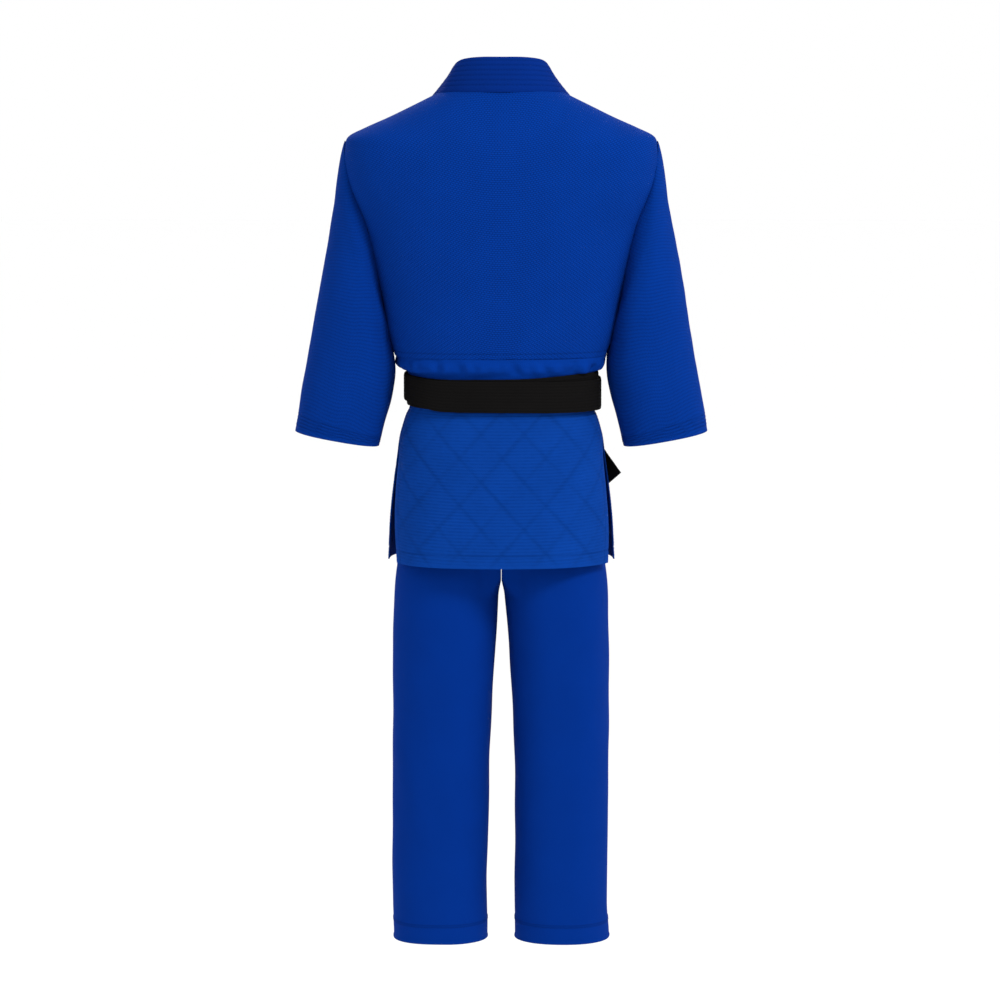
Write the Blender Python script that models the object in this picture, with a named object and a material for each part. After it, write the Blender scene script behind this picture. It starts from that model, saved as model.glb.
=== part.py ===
"""Judo uniform (judogi) hanging as worn: quilted jacket, belt wrapped twice and knotted, loose trousers.

Metres, +Z up, the wearer faces -Y, the wearer's left is +X. The origin is the nape: the middle of the
seam between the back panel and the standing collar. Every panel is a closed shell of its cloth thickness,
cut from one of three surfaces: the jacket body, the sleeve tube and the trouser leg tube.
"""

import math

import bmesh
import bpy
import numpy as np

# ---- cloth and clearances ----
CLOTH = 0.003  # woven jacket and trouser cloth
GAP = 0.0005  # between panels sewn edge to edge
COLLAR = 0.005  # the collar band is several layers
HEM = 0.0045  # folded double
BELT_CLOTH = 0.0035
OVERLAP_LIFT = 0.0058  # the left front lies this far out, over the right front

# ---- levels below the nape (z) ----
SIDE_NECK_Z = -0.008
WAIST_SEAM_Z = -0.4125
BELT_Z = -0.4650
BELT_WIDTH = 0.0450
SKIRT_TOP_Z = -0.4970
HEM_Z = -0.7350
LEG_PIVOT_Z = -0.7500
LEG_HEM_Z = -1.3210

# ---- jacket body: (z, half width, half depth back, half depth front), outside of the cloth ----
BODY = [
    (0.004, 0.078, 0.066, 0.060),
    (-0.008, 0.101, 0.073, 0.070),
    (-0.025, 0.136, 0.082, 0.081),
    (-0.045, 0.177, 0.092, 0.090),
    (-0.062, 0.212, 0.100, 0.098),
    (-0.075, 0.235, 0.106, 0.103),
    (-0.090, 0.2395, 0.111, 0.108),
    (-0.130, 0.2410, 0.118, 0.114),
    (-0.207, 0.2140, 0.118, 0.116),
    (-0.302, 0.1900, 0.112, 0.112),
    (-0.390, 0.1680, 0.106, 0.107),
    (-0.4145, 0.1580, 0.103, 0.104),
    (-0.427, 0.1480, 0.100, 0.101),
    (-0.437, 0.1425, 0.098, 0.099),
    (-0.465, 0.1410, 0.097, 0.098),
    (-0.488, 0.1420, 0.098, 0.099),
    (-0.500, 0.1480, 0.101, 0.103),
    (-0.520, 0.1550, 0.105, 0.108),
    (-0.570, 0.1630, 0.112, 0.117),
    (-0.650, 0.1730, 0.121, 0.128),
    (-0.750, 0.1780, 0.130, 0.138),
]
BODY_SQUARENESS = 2.5
BODY_LEVELS = [
    -0.001, -0.020, -0.040, -0.055, -0.068, -0.080, -0.100, -0.130, -0.170, -0.210, -0.260, -0.310, -0.360,
    -0.400, -0.450,
]
BACK_FLAP_INSET = 0.009  # the back skirt hangs this much narrower than the front at the hem

# ---- front edge: (z, x) of the free edge of the left collar band ----
FREE_EDGE = [
    (-0.015, 0.0700), (-0.055, 0.0560), (-0.090, 0.042), (-0.140, 0.022), (-0.220, -0.006),
    (-0.320, -0.034), (-0.440, -0.058), (-0.500, -0.066), (-0.760, -0.086),
]
BAND_WIDTH = 0.048

# ---- collar stand: plan and height of its sewn edge and its top edge, from the nape round to the left ----
STAND_SEWN = [
    (0.000, 0.068, 0.001), (0.050, 0.058, 0.000), (0.083, 0.034, -0.003), (0.0970, 0.000, -0.007),
    (0.1080, -0.038, -0.018), (0.1150, -0.066, -0.040),
]
STAND_TOP = [
    (0.000, 0.055, 0.053), (0.035, 0.050, 0.0525), (0.062, 0.030, 0.047), (0.0710, 0.000, 0.036),
    (0.0740, -0.036, 0.016), (0.0700, -0.070, -0.012),
]
STAND_END = 4.75

# ---- sleeve: section lines in the XZ plane, from the armhole to the cuff ----
SLEEVE_UNDER = [
    (0.00, 0.1640, -0.3080), (0.10, 0.1860, -0.3380), (0.24, 0.1840, -0.3720), (0.45, 0.1720, -0.4180),
    (1.00, 0.1910, -0.5470),
]
SLEEVE_OUTER = [
    (0.00, 0.2120, -0.0780), (0.10, 0.2400, -0.0880), (0.24, 0.2570, -0.1760), (0.45, 0.2760, -0.2800),
    (1.00, 0.3185, -0.5240),
]
SLEEVE_DEPTH = [(0.00, 0.086), (0.10, 0.086), (0.45, 0.073), (1.00, 0.056)]
CUFF_START = 0.925
SHOULDER_PIVOT = (0.220, -0.085)
SHOULDER_CLEAR = 0.0250
ARMHOLE = (0.048, 0.108, -0.203)  # half depth, half height, centre z

# ---- trouser leg: (z, inside x, outside x, half depth), outside of the cloth ----
LEG = [
    (-0.735, 0.0060, 0.1585, 0.0870),
    (-0.765, 0.0070, 0.1625, 0.0885),
    (-0.820, 0.0100, 0.1645, 0.0880),
    (-0.900, 0.0155, 0.1650, 0.0850),
    (-1.010, 0.0210, 0.1655, 0.0820),
    (-1.150, 0.0230, 0.1660, 0.0790),
    (-1.330, 0.0250, 0.1660, 0.0770),
]
LEG_PIVOT_X = 0.050
LEG_SQUARENESS = 2.35
LEG_HEM = 0.034
LEG_SIDES = 24
KNEE_ROWS = [-0.850, -0.920, -1.000, -1.080, -1.160]

# ---- trouser seat: (z, half width, half depth), outside of the cloth ----
SEAT = [
    (-0.400, 0.1300, 0.0860),
    (-0.480, 0.1280, 0.0850),
    (-0.580, 0.1380, 0.0900),
    (-0.680, 0.1520, 0.0940),
    (-0.760, 0.1600, 0.0950),
]
SEAT_TOP_Z = -0.436
SEAT_HEM_Z = -0.742
WAISTBAND = (-0.398, -0.4355)
RISE_Z = -0.700  # the gusset is let into the seat below here

# ---- knot and ends of the belt ----
KNOT = (0.058, 0.026, 0.048)
TAIL_TOP_Z = -0.5080
TAIL_LENGTHS = (0.180, 0.178)  # left end then right end
TAIL_ANGLES = (math.radians(58), math.radians(36))  # below the horizontal

SIDE_GAP = 0.004
SIDES = ((1, "left"), (-1, "right"))
BACK_FLAP_AXIS = (0.0860, -0.4950)
FRONT_FLAP_AXIS = (-0.0980, -0.4990)

COLOURS = {
    "jacket": (0.004, 0.045, 0.300, 1.0),
    "trousers": (0.002, 0.031, 0.253, 1.0),
    "belt": (0.008, 0.0078, 0.008, 1.0),
}


def clear_scene():
    for old in list(bpy.data.objects):
        bpy.data.objects.remove(old)


def curve(rows, at):
    """Smooth interpolation through rows of (key, value, ...), falling or rising keys."""
    table = np.array(sorted(rows), float)
    keys = table[:, 0]
    values = table[:, 1:]
    slopes = np.gradient(values, keys, axis=0)
    at = min(max(at, keys[0]), keys[-1])
    i = int(min(np.searchsorted(keys, at, side="right") - 1, len(keys) - 2))
    step = keys[i + 1] - keys[i]
    f = (at - keys[i]) / step
    start = (1 + 2 * f) * (1 - f) ** 2 * values[i] + f * (1 - f) ** 2 * step * slopes[i]
    end = f * f * (3 - 2 * f) * values[i + 1] + f * f * (f - 1) * step * slopes[i + 1]
    return start + end


def smoothstep(low, high, value):
    f = min(max((value - low) / (high - low), 0.0), 1.0)
    return f * f * (3 - 2 * f)


def oval(a, b, n, t):
    """Point of a superellipse: t = 0 is +X, a quarter turn is +Y."""
    c = math.cos(t)
    s = math.sin(t)
    return a * math.copysign(abs(c) ** (2 / n), c), b * math.copysign(abs(s) ** (2 / n), s)


def body_point(t, z, inset=0.0):
    """Inside face of the jacket body; inset narrows it."""
    a, back, front = curve(BODY, z)
    depth = back if math.sin(t) > 0 else front
    x, y = oval(a - CLOTH - inset, depth - CLOTH, BODY_SQUARENESS, t)
    return np.array([x, y, z])


def front_angle(x, z):
    """The t at which the front of the body surface has this x."""
    a = curve(BODY, z)[0] - CLOTH
    c = min(max(x / a, -1.0), 1.0)
    return 2 * math.pi - math.acos(math.copysign(abs(c) ** (BODY_SQUARENESS / 2), c))


def free_edge(z):
    return float(curve(FREE_EDGE, z)[0])


def sewn_edge(z):
    """The band keeps its width across its own slope."""
    slope = (free_edge(z + 0.01) - free_edge(z - 0.01)) / 0.02
    return free_edge(z) + BAND_WIDTH * math.hypot(1, slope)


def normal_of(point, u, v):
    e = 1e-4
    du = point(u + e, v) - point(u - e, v)
    dv = point(u, v + e) - point(u, v - e)
    n = np.cross(du, dv)
    return n / max(np.linalg.norm(n), 1e-12)


def material(slot):
    made = bpy.data.materials.get(slot)
    if made is None:
        made = bpy.data.materials.new(slot)
        made.use_nodes = True
        shader = made.node_tree.nodes["Principled BSDF"]
        shader.inputs["Base Color"].default_value = COLOURS[slot]
        shader.inputs["Roughness"].default_value = 0.85
    return made


def finish(name, points, faces, slot):
    mesh = bpy.data.meshes.new(name)
    mesh.from_pydata([tuple(p) for p in points], [], faces)
    work = bmesh.new()
    work.from_mesh(mesh)
    bmesh.ops.recalc_face_normals(work, faces=work.faces)
    work.to_mesh(mesh)
    work.free()
    mesh.materials.append(material(slot))
    made = bpy.data.objects.new(name, mesh)
    bpy.context.scene.collection.objects.link(made)
    return made


def shell(name, point, us, vs, slot, thick=CLOTH, lift=0.0, closed=False, outward=1.0):
    """A closed shell between the surface lifted by `lift` and by `lift + thick`, over a grid of us and vs."""
    nu = len(us)
    nv = len(vs)
    inner = []
    outer = []
    for u in us:
        for v in vs:
            n = normal_of(point, u, v) * outward
            base = point(u, v)
            raised = lift(u, v) if callable(lift) else lift
            inner.append(base + n * raised)
            outer.append(base + n * (raised + thick))
    total = nu * nv
    faces = []
    for i in range(nu if closed else nu - 1):
        j = (i + 1) % nu
        for k in range(nv - 1):
            quad = [i * nv + k, j * nv + k, j * nv + k + 1, i * nv + k + 1]
            faces.append(quad)
            faces.append([q + total for q in reversed(quad)])
        for k in (0, nv - 1):
            rim = [i * nv + k, j * nv + k, j * nv + k + total, i * nv + k + total]
            faces.append(rim if k else rim[::-1])
    if not closed:
        for i in (0, nu - 1):
            for k in range(nv - 1):
                a = i * nv + k
                rim = [a, a + 1, a + 1 + total, a + total]
                faces.append(rim if i else rim[::-1])
    return finish(name, inner + outer, faces, slot)


def solid(name, rings, slot="jacket"):
    """A closed solid through rings of equal length, capped at both ends."""
    count = len(rings[0])
    points = [p for ring in rings for p in ring]
    faces = []
    for r in range(len(rings) - 1):
        for i in range(count):
            j = (i + 1) % count
            faces.append([r * count + i, r * count + j, (r + 1) * count + j, (r + 1) * count + i])
    faces.append(list(range(count))[::-1])
    last = (len(rings) - 1) * count
    faces.append([last + i for i in range(count)])
    return finish(name, points, faces, slot)


def cutter(made):
    made.hide_render = True
    made.display_type = "WIRE"
    return made


def subtract(target, tool):
    modifier = target.modifiers.new("cut", "BOOLEAN")
    modifier.operation = "DIFFERENCE"
    modifier.solver = "EXACT"
    modifier.object = tool


def rod(name, x, z, radius, half_length, flatten=1.0, along="Y", count=40):
    """A cylinder along Y through (x, z), or along X through (0, z) with its depth flattened."""
    rings = []
    for end in (-half_length, half_length):
        ring = []
        for i in range(count):
            t = 2 * math.pi * i / count
            if along == "Y":
                ring.append(np.array([x + radius * math.cos(t), end, z + radius * math.sin(t)]))
            else:
                ring.append(np.array([x + end, radius * flatten * math.cos(t), z + radius * math.sin(t)]))
        rings.append(ring)
    return cutter(solid(name, rings))


def pivot(name, x, y, z, parent=None):
    made = bpy.data.objects.new(name, None)
    made.location = (x, y, z)
    bpy.context.scene.collection.objects.link(made)
    if parent:
        made.parent = parent
        made.location = (x - parent.location.x, y - parent.location.y, z - parent.location.z)
    return made


def attach(child, to):
    """Parents a piece whose mesh is in world coordinates, so that it turns about the empty."""
    child.parent = to
    bpy.context.view_layer.update()
    child.matrix_parent_inverse = to.matrix_world.inverted()


def steps(start, end, count):
    return [start + (end - start) * i / count for i in range(count + 1)]


def overlap(side, x):
    """How far this front stands off the body surface: the left front passes over the right one."""
    return OVERLAP_LIFT * (1 - smoothstep(0.092, 0.140, x)) if side > 0 else 0.0


def front_point(side, x, z):
    """Inside face of a front at this x, for the left front; the right one is its mirror image, unlifted."""
    t = front_angle(x, z)
    base = body_point(t, z)
    base[1] -= overlap(side, x)
    base[0] *= side
    return base


def front_panel(side, z_top, z_bottom, vent=0.0):
    """(u, v): from the side seam to the band's sewn edge, then down."""
    def point(u, v):
        z = z_top + (z_bottom - z_top) * v
        start = 2 * math.pi - SIDE_GAP - vent
        end = front_angle(sewn_edge(z) + GAP, z)
        t = start + (end - start) * u
        base = body_point(t, z)
        base[1] -= overlap(side, base[0])
        base[0] *= side
        return base

    return point


def front_band(side, z_sewn, z_free, z_bottom):
    """(u, v): from the sewn edge to the free edge, then down."""
    def point(u, v):
        top = z_sewn + (z_free - z_sewn) * u
        z = top + (z_bottom - top) * v
        x = sewn_edge(z) + (free_edge(z) - sewn_edge(z)) * u
        return front_point(side, x, z)

    return point


def stand_point(u, v):
    """The collar stand, u from -STAND_END at the right lapel to +STAND_END at the left one."""
    low = curve([(i, *p) for i, p in enumerate(STAND_SEWN)], abs(u))
    high = curve([(i, *p) for i, p in enumerate(STAND_TOP)], abs(u))
    base = low + (high - low) * v
    base[0] = math.copysign(base[0], u)
    return base


def build_upper_body():
    rows = [0, 0.05, 0.1, 0.145, 0.18, 0.23, 0.3, 0.45, 0.6, 0.8, 0.93, 1]

    def back(u, v):
        top = SIDE_NECK_Z - 0.003 + 0.008 * math.sin(u) ** 2
        return body_point(u, top + (WAIST_SEAM_Z - top) * v)

    columns = steps(SIDE_GAP, math.pi - SIDE_GAP, 20)
    panels = [shell("upper_back", back, columns, rows, "jacket", outward=-1)]
    for side, name in SIDES:
        point = front_panel(side, SIDE_NECK_Z - 0.0105, WAIST_SEAM_Z)
        panels.append(shell("upper_front_" + name, point, steps(0, 1, 10), rows, "jacket", outward=side))
        band = front_band(side, -0.046, -0.016, WAIST_SEAM_Z)
        shell("lapel_" + name, band, steps(0, 1, 2), steps(0, 1, 12), "jacket", COLLAR, outward=side)
    us = steps(-STAND_END, STAND_END, 26)
    shell("collar_neck", stand_point, us, steps(0, 1, 2), "jacket", COLLAR, outward=-1)
    clearance = shell(
        "collar_clearance", stand_point, steps(-5, 5, 30), [-0.02, 0.5, 1], "jacket", COLLAR + 0.001, -0.0005,
        outward=-1,
    )
    for panel in panels:
        subtract(panel, cutter(clearance))
    half_depth, half_height, middle = ARMHOLE
    for side, name in SIDES:
        hole = rod("armhole_" + name, side * 0.24, middle, half_height, 0.055, half_depth / half_height, "X")
        for panel in panels:
            subtract(panel, hole)


def build_waist():
    """The top of the skirt, from the waist seam down to the belt's lower edge."""
    bottom = BELT_Z - BELT_WIDTH / 2
    rows = [0, 0.25, 0.5, 1]

    def back(u, v):
        top = WAIST_SEAM_Z - GAP
        return body_point(u, top + (bottom - top) * v)

    columns = steps(SIDE_GAP, math.pi - SIDE_GAP, 20)
    shell("skirt_top_back", back, columns, rows, "jacket", outward=-1)
    for side, name in SIDES:
        point = front_panel(side, WAIST_SEAM_Z - GAP, bottom)
        shell("skirt_top_front_" + name, point, steps(0, 1, 10), rows, "jacket", outward=side)
        band = front_band(side, WAIST_SEAM_Z - GAP, WAIST_SEAM_Z - GAP, bottom)
        shell("lapel_waist_" + name, band, steps(0, 1, 2), rows, "jacket", COLLAR, outward=side)


def build_belt():
    width, back, front = curve(BODY, BELT_Z)
    snug = 0.0024

    def wrap(extra, drop):
        def point(u, v):
            depth = back + snug if math.sin(u) > 0 else front + OVERLAP_LIFT + COLLAR - CLOTH + 2 * snug
            x, y = oval(width + snug + extra, depth + extra, BODY_SQUARENESS, u)
            return np.array([x, y, BELT_Z + drop * math.cos(u) + BELT_WIDTH * (v - 0.5)])

        return point

    us = [2 * math.pi * i / 40 for i in range(40)]
    for name, extra, drop in (("belt_inner_wrap", 0.0, -0.0022), ("belt_outer_wrap", BELT_CLOTH + GAP, 0.0)):
        point = wrap(extra, drop)
        shell(name, point, us, [0, 1], "belt", BELT_CLOTH, closed=True)
    rings = []
    wide, deep, high = KNOT
    y = -0.1325
    for k in range(9):
        f = -1 + 2 * k / 8
        scale = (1 - abs(f) ** 4 * 0.82) ** 0.5
        ring = []
        for i in range(24):
            px, py = oval(wide / 2 * scale, deep / 2 * scale, 3.2, 2 * math.pi * i / 24)
            ring.append(np.array([px, y + py, BELT_Z + 0.5 * high * f * 0.93]))
        rings.append(ring)
    knot = solid("belt_knot", rings, "belt")
    return knot


def sleeve_point(side):
    def point(u, v):
        under = curve(SLEEVE_UNDER, v)
        outer = curve(SLEEVE_OUTER, v)
        depth = float(curve(SLEEVE_DEPTH, v)[0])
        middle = (under + outer) / 2
        half = (outer - under) / 2
        c, s = oval(1, 1, 2.4, u)
        length = np.linalg.norm(half)
        across = middle + half * c * (1 - CLOTH / length)
        return np.array([across[0] * side, (depth - CLOTH) * s, across[1]])

    return point


def build_sleeves():
    around = [2 * math.pi * i / 24 for i in range(24)]
    rings = []
    for z in BODY_LEVELS:
        ring = []
        for i in range(40):
            t = 2 * math.pi * i / 40
            base = body_point(t, z)
            n = normal_of(body_point, t, z)
            ring.append(base + n * (CLOTH + 0.0015))
        rings.append(ring)
    jacket = cutter(solid("jacket_clearance", rings))
    for side, name in SIDES:
        turn = pivot("sleeve_turn_" + name, side * SHOULDER_PIVOT[0], 0, SHOULDER_PIVOT[1])
        shoulder = rod("shoulder_clearance_" + name, side * SHOULDER_PIVOT[0], SHOULDER_PIVOT[1], SHOULDER_CLEAR, 0.2)
        rows = [0, 0.05, 0.1, 0.17, 0.24, 0.34, 0.45, 0.6, 0.76, CUFF_START]
        sleeve = shell(
            "sleeve_" + name, sleeve_point(side), around, rows, "jacket", closed=True, outward=side
        )
        subtract(sleeve, jacket)
        subtract(sleeve, shoulder)
        attach(sleeve, turn)
        rows = [CUFF_START + 0.003, 1]
        cuff = shell(
            "cuff_hem_" + name, sleeve_point(side), around, rows, "jacket", HEM, -0.0005, True, side
        )
        attach(cuff, turn)


def build_skirt():
    back_turn = pivot("skirt_back_turn", 0, *BACK_FLAP_AXIS)
    right_turn = pivot("skirt_front_right_turn", 0, *FRONT_FLAP_AXIS)
    left_turn = pivot("skirt_front_left_turn", 0, *FRONT_FLAP_AXIS, right_turn)
    rows = [0, 0.08, 0.2, 0.4, 0.7, 1]

    def back(u, v):
        edge = 0.14 + 0.16 * v
        t = edge + (math.pi - 2 * edge) * u
        hem = HEM_Z - 0.002
        z = SKIRT_TOP_Z + (hem - SKIRT_TOP_Z) * v
        return body_point(t, z, BACK_FLAP_INSET * v)

    panel = shell("skirt_back", back, steps(0, 1, 18), rows, "jacket", outward=-1)
    attach(panel, back_turn)
    turns = {"left": left_turn, "right": right_turn}
    top = SKIRT_TOP_Z - 0.006
    for side, name in SIDES:
        point = front_panel(side, top, HEM_Z, 0.03)
        panel = shell("skirt_front_" + name, point, steps(0, 1, 14), rows, "jacket", outward=side)
        attach(panel, turns[name])
        band = front_band(side, top, top, HEM_Z)
        lapel = shell("lapel_lower_" + name, band, steps(0, 1, 2), rows, "jacket", COLLAR, outward=side)
        attach(lapel, turns[name])
    for (side, name), length, down in zip(SIDES, TAIL_LENGTHS, TAIL_ANGLES):
        turn = pivot("tail_turn_" + name, 0, -0.1195, TAIL_TOP_Z, left_turn)
        rows = steps(0, 1, 9)

        def tail(u, v):
            along = length * v
            x = side * (0.030 + along * math.cos(down)) + (u - 0.5) * BELT_WIDTH * math.sin(down)
            z = TAIL_TOP_Z - along * math.sin(down) + side * (u - 0.5) * BELT_WIDTH * math.cos(down)
            z = min(z, TAIL_TOP_Z)
            reach = min(abs(x), 0.150)
            y = body_point(front_angle(reach, z), z)[1] - OVERLAP_LIFT - COLLAR - 0.0025
            return np.array([x, y, z])

        ribbon = shell("belt_tail_" + name, tail, steps(0, 1, 2), rows, "belt", 0.0045, outward=-1)
        attach(ribbon, turn)


def leg_point(side, squeeze=0.0):
    def point(u, v):
        inner, outer, depth = curve(LEG, v)
        c, s = oval(1, 1, LEG_SQUARENESS, u)
        x = (inner + outer) / 2 + ((outer - inner) / 2 - CLOTH) * c
        return np.array([x * side, (depth - CLOTH) * s, v])

    return point


def build_trousers():
    around = [2 * math.pi * i / LEG_SIDES for i in range(LEG_SIDES)]

    def seat(u, v):
        a, depth = curve(SEAT, v)
        x, y = oval(a - CLOTH, depth - CLOTH, 2.5, u)
        return np.array([x, y, v])

    whole = [2 * math.pi * i / 40 for i in range(40)]
    shell("waistband", seat, whole, steps(*WAISTBAND, 2), "trousers", 0.004, closed=True, outward=1)
    for side, name in SIDES:
        centre = math.pi / 2
        us = steps(centre + 0.006, 3 * centre - 0.006, 14) if side < 0 else steps(-centre + 0.006, centre - 0.006, 14)
        half = shell("seat_" + name, seat, us, steps(SEAT_TOP_Z, SEAT_HEM_Z, 7), "trousers", outward=1)
        subtract(half, rod("hip_clearance_" + name, side * LEG_PIVOT_X, LEG_PIVOT_Z, 0.1165, 0.2))
        turn = pivot("leg_turn_" + name, side * LEG_PIVOT_X, 0, LEG_PIVOT_Z)
        rows = [LEG_PIVOT_Z, -0.8, *KNEE_ROWS, LEG_HEM_Z + LEG_HEM]
        leg = shell("leg_" + name, leg_point(side), around, rows, "trousers", closed=True, outward=side)
        attach(leg, turn)
        rows = [LEG_HEM_Z + LEG_HEM - GAP, LEG_HEM_Z]
        hem = shell("leg_hem_" + name, leg_point(side), around, rows, "trousers", HEM, -0.0005, True, side)
        attach(hem, turn)
        us = around[LEG_SIDES // 2 + 2 : -1]
        knee = shell(
            "knee_patch_" + name, leg_point(side), us, KNEE_ROWS, "trousers", 0.0025, CLOTH + GAP,
            outward=side,
        )
        attach(knee, turn)


def main():
    clear_scene()
    build_upper_body()
    build_waist()
    build_belt()
    build_sleeves()
    build_skirt()
    build_trousers()


main()
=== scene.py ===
"""Looks of a judo uniform: quilted cotton jacket, twice-wrapped belt, loose drill trousers.

Every piece of cloth is a real sheet with two faces and a rim, cut from the same three surfaces as the
solids it stands for: the jacket body, the sleeve tube and the trouser leg tube.
"""

import math

import bpy
import numpy as np
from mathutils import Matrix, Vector


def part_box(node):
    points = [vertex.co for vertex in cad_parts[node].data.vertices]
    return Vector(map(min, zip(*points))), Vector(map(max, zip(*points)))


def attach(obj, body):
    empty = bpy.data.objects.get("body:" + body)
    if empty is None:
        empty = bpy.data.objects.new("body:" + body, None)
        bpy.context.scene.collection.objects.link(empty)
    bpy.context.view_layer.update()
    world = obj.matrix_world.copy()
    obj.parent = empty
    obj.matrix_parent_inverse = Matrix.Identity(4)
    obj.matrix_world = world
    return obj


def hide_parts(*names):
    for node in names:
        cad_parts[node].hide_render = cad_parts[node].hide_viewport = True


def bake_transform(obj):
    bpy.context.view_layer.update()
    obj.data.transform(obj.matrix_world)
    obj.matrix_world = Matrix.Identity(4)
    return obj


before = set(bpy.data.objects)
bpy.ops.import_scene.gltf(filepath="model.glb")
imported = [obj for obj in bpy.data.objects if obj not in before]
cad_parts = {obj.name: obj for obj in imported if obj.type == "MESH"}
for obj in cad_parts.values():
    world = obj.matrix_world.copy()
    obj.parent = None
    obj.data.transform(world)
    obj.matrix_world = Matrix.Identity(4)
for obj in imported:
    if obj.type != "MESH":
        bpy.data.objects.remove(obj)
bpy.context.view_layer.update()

# ---- thickness of the cloth, and how far the left front lies over the right ----
CLOTH = 0.003
COLLAR = 0.005
BELT_CLOTH = 0.0036
KNOT_CLOTH = 0.0050
BELT_SNUG = 0.0024  # room under the belt
OVERLAP_LIFT = 0.0058

# ---- levels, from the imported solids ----
WAIST_SEAM_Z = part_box("upper_back")[0].z + 0.0100
BELT_Z = (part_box("belt_outer_wrap")[0].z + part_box("belt_outer_wrap")[1].z) / 2 + 0.003
BELT_WIDTH = 0.048
HEM_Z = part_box("skirt_front_left")[0].z + 0.009
BACK_HEM_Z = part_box("skirt_back")[0].z + 0.012
LEG_HEM_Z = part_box("leg_hem_left")[0].z
WAISTBAND_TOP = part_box("waistband")[1].z

# ---- jacket body: (z, half width, half depth back, half depth front), outside of the cloth ----
BODY = [
    (0.008, 0.078, 0.066, 0.060),
    (-0.0045, 0.101, 0.073, 0.070),
    (-0.022, 0.136, 0.082, 0.081),
    (-0.042, 0.177, 0.092, 0.090),
    (-0.0575, 0.212, 0.100, 0.098),
    (-0.0695, 0.236, 0.106, 0.103),
    (-0.084, 0.2410, 0.111, 0.108),
    (-0.130, 0.2410, 0.118, 0.114),
    (-0.207, 0.2140, 0.118, 0.116),
    (-0.302, 0.1900, 0.112, 0.112),
    (-0.390, 0.1680, 0.106, 0.107),
    (-0.4145, 0.1580, 0.103, 0.104),
    (-0.427, 0.1480, 0.100, 0.101),
    (-0.437, 0.1425, 0.098, 0.099),
    (-0.465, 0.1410, 0.097, 0.098),
    (-0.488, 0.1420, 0.098, 0.099),
    (-0.500, 0.1480, 0.101, 0.103),
    (-0.520, 0.1550, 0.105, 0.108),
    (-0.570, 0.1630, 0.112, 0.117),
    (-0.650, 0.1730, 0.121, 0.128),
    (-0.750, 0.1780, 0.130, 0.138),
]
SQUARE = 2.5  # how square the body is in plan: 2 is an ellipse
BACK_FLAP_INSET = 0.009
FLAP_TOP_Z = -0.4845
FLAP_LENGTH = 0.25
FLAP_ROWS = 193
RIB_PITCH = 0.0050
DIAMOND_PITCH = 0.066
YOKE_LOW_Z = -0.4855
# Free edge of the collar band down the left front: (z, x)
FREE_EDGE = [
    (-0.015, 0.0700), (-0.055, 0.0560), (-0.090, 0.042), (-0.140, 0.022), (-0.220, -0.006),
    (-0.320, -0.034), (-0.440, -0.058), (-0.500, -0.066), (-0.760, -0.086),
]
BAND_WIDTH = 0.048
BAND_STITCH_ROWS = (0.20, 0.34, 0.48, 0.62, 0.76, 0.90)
BAND_ACROSS = 50
# The collar's stand from the middle of the back to the front: (x, y, z) of its sewn and its top edge
STAND_SEWN = [
    (0.000, 0.068, 0.005), (0.049, 0.058, 0.004), (0.0815, 0.034, 0.001), (0.0955, 0.000, -0.0035),
    (0.1080, -0.038, -0.0155), (0.1150, -0.066, -0.039),
]
STAND_TOP = [
    (0.000, 0.055, 0.057), (0.033, 0.050, 0.0565), (0.0595, 0.030, 0.051), (0.0685, 0.000, 0.039),
    (0.0720, -0.036, 0.0175), (0.0690, -0.070, -0.012),
]
# Sleeve by share of its length: (share, x, z) of its underside and its outer side, and (share, half depth)
SLEEVE_UNDER = [
    (0.00, 0.1640, -0.3080), (0.10, 0.1780, -0.3380), (0.24, 0.1700, -0.3720), (0.45, 0.1640, -0.4180),
    (1.00, 0.1910, -0.5470),
]
SLEEVE_OUTER = [
    (0.00, 0.2120, -0.0730), (0.10, 0.2420, -0.0830), (0.24, 0.2570, -0.1760), (0.45, 0.2760, -0.2800),
    (1.00, 0.3185, -0.5240),
]
SLEEVE_DEPTH = [(0.00, 0.040), (0.10, 0.055), (0.24, 0.066), (0.45, 0.070), (1.00, 0.058)]
SLEEVE_LENGTH = 0.455
CUFF_HEM = 0.031
CUFF_STITCH_LINES = (0.012, 0.018, 0.024, 0.030)
ARMHOLE = (0.042, 0.130, -0.204)  # half depth, half height, middle height
# Trouser leg: (z, x of its inner side, x of its outer side, half depth)
LEG = [
    (-0.735, 0.0040, 0.1600, 0.0870),
    (-0.765, 0.0060, 0.1630, 0.0885),
    (-0.820, 0.0100, 0.1645, 0.0880),
    (-0.900, 0.0155, 0.1650, 0.0850),
    (-1.010, 0.0210, 0.1655, 0.0820),
    (-1.150, 0.0230, 0.1660, 0.0790),
    (-1.330, 0.0250, 0.1660, 0.0770),
]
LEG_SQUARE = 2.35
LEG_HEM = 0.0310
LEG_STITCH_LINES = (0.0270, 0.0300)
CROTCH_Z = -0.7365
SEAM_CORNER = 0.80 * math.pi  # how far round the leg the seams in the middle of the seat are
# Seat of the trousers: (z, half width, half depth)
SEAT = [
    (-0.390, 0.1300, 0.0860),
    (-0.480, 0.1280, 0.0850),
    (-0.580, 0.1380, 0.0900),
    (-0.680, 0.1500, 0.0910),
    (-0.760, 0.1580, 0.0880),
]
# Belt ends: degrees down from level at the knot and where they hang, and length
TAILS = {"left": (40, 66, 0.218), "right": (3, 53, 0.212)}
SIDES = ((1, "left"), (-1, "right"))

DEEPEST_STITCH = 0.0010  # a stitched line sunk this deep gets the most painted shade in its colour
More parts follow.
